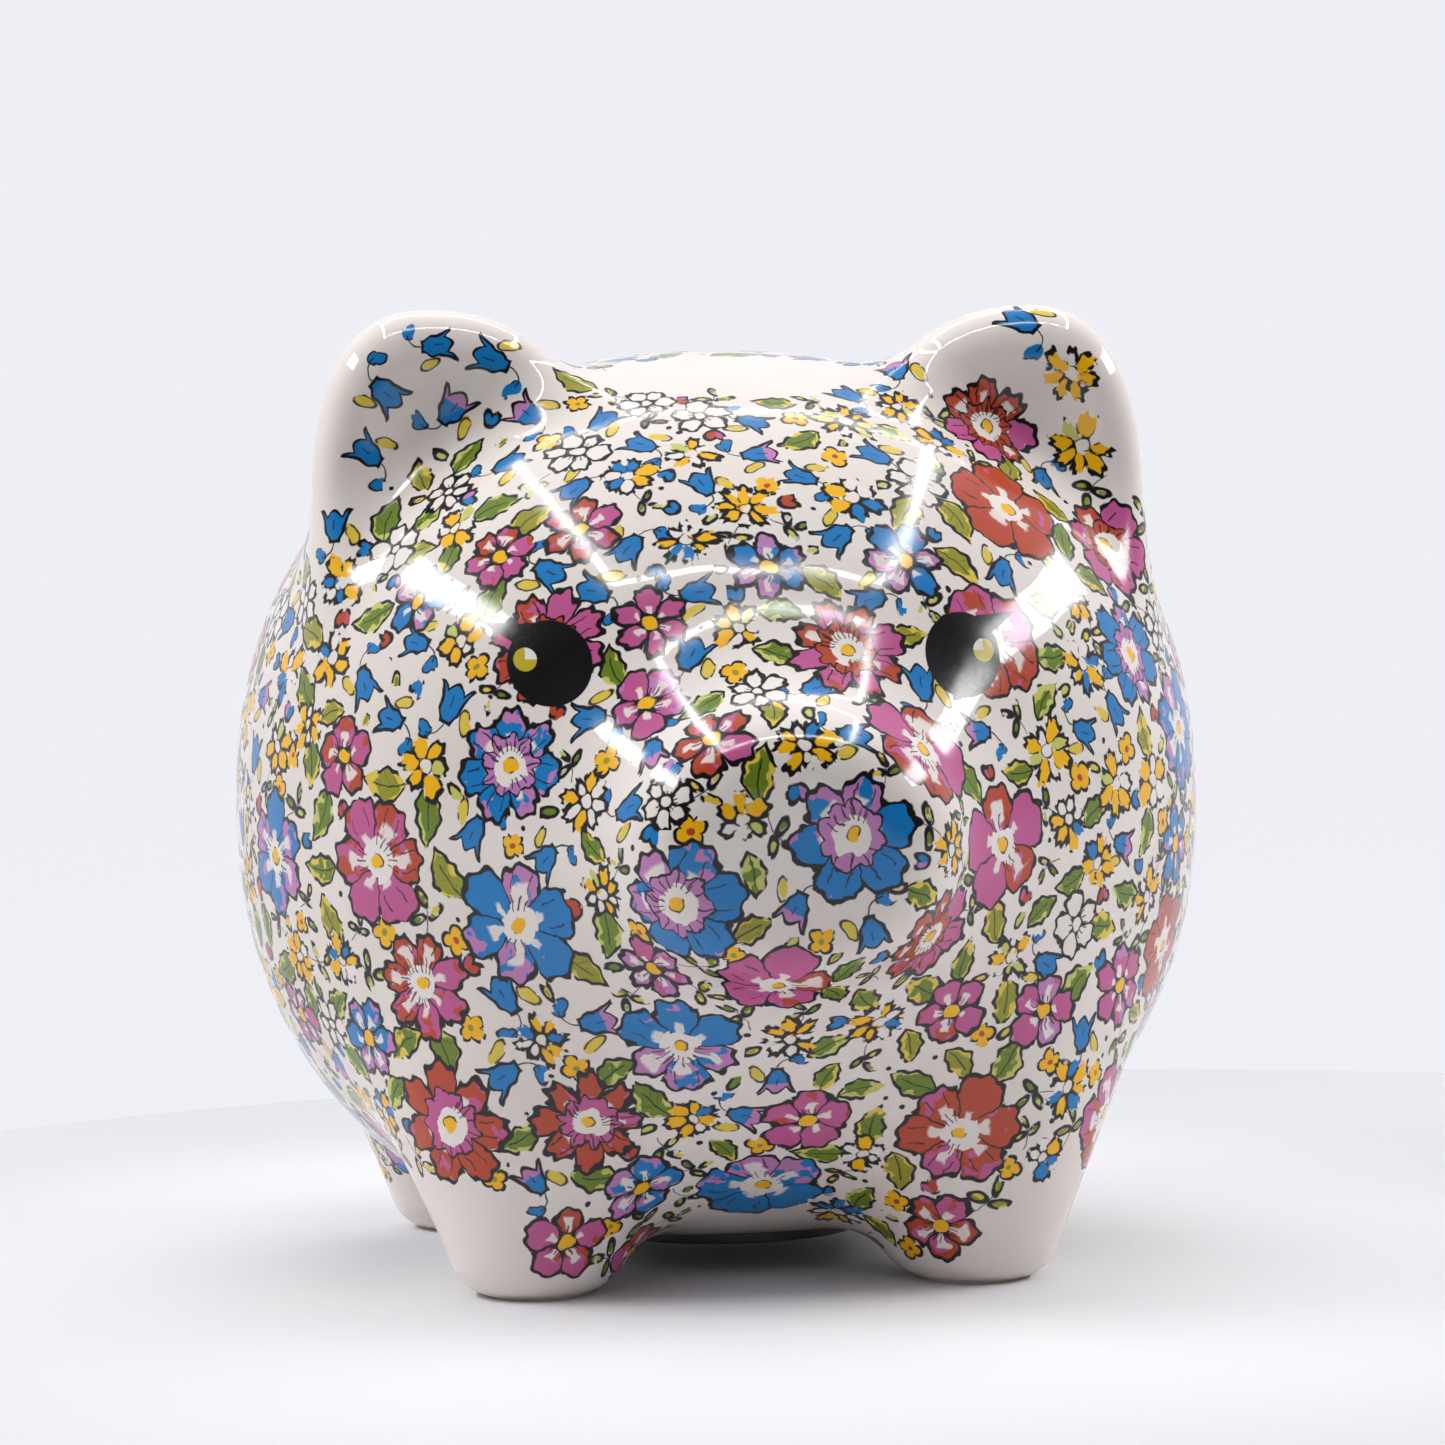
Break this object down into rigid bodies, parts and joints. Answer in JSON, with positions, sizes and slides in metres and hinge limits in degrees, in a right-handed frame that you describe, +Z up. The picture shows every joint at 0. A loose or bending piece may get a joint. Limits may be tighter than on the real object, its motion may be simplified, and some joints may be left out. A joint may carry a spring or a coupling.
{
  "type": "piggy bank",
  "caption": "Round hollow glazed ceramic pig money bank with cupped ears, an oval snout, stub legs, a curled tail, a coin slot in the back and a pull-out stopper in the belly.",
  "frame": {"origin": "on the plane the feet stand on, under the middle of the bank's box", "axes": "+Z up, -Y the way the snout points, +X towards the pig's left side"},
  "size_m": [0.1202, 0.1394, 0.1164],
  "materials": {
    "glazed_shell": "glossy clear glaze over a multicoloured floral transfer print on warm white",
    "stopper": "satin dark grey soft rubber",
    "tab": "satin dark grey soft rubber"
  },
  "bodies": {
    "bank": {"ceramic_body": "glazed_shell"},
    "stopper": {"stopper_plug": "stopper"},
    "tab": {"pull_tab": "tab"}
  },
  "joints": [
    {"name": "stopper_pull", "type": "slide", "parent": "bank", "child": "stopper", "axis": [0, 0, -1], "range_m": [0, 0.02]},
    {"name": "tab_lift", "type": "hinge", "parent": "stopper", "child": "tab", "pos_m": [0, -0.006, 0.0038], "axis": [-1, 0, 0], "range_deg": [0, 90]}
  ]
}
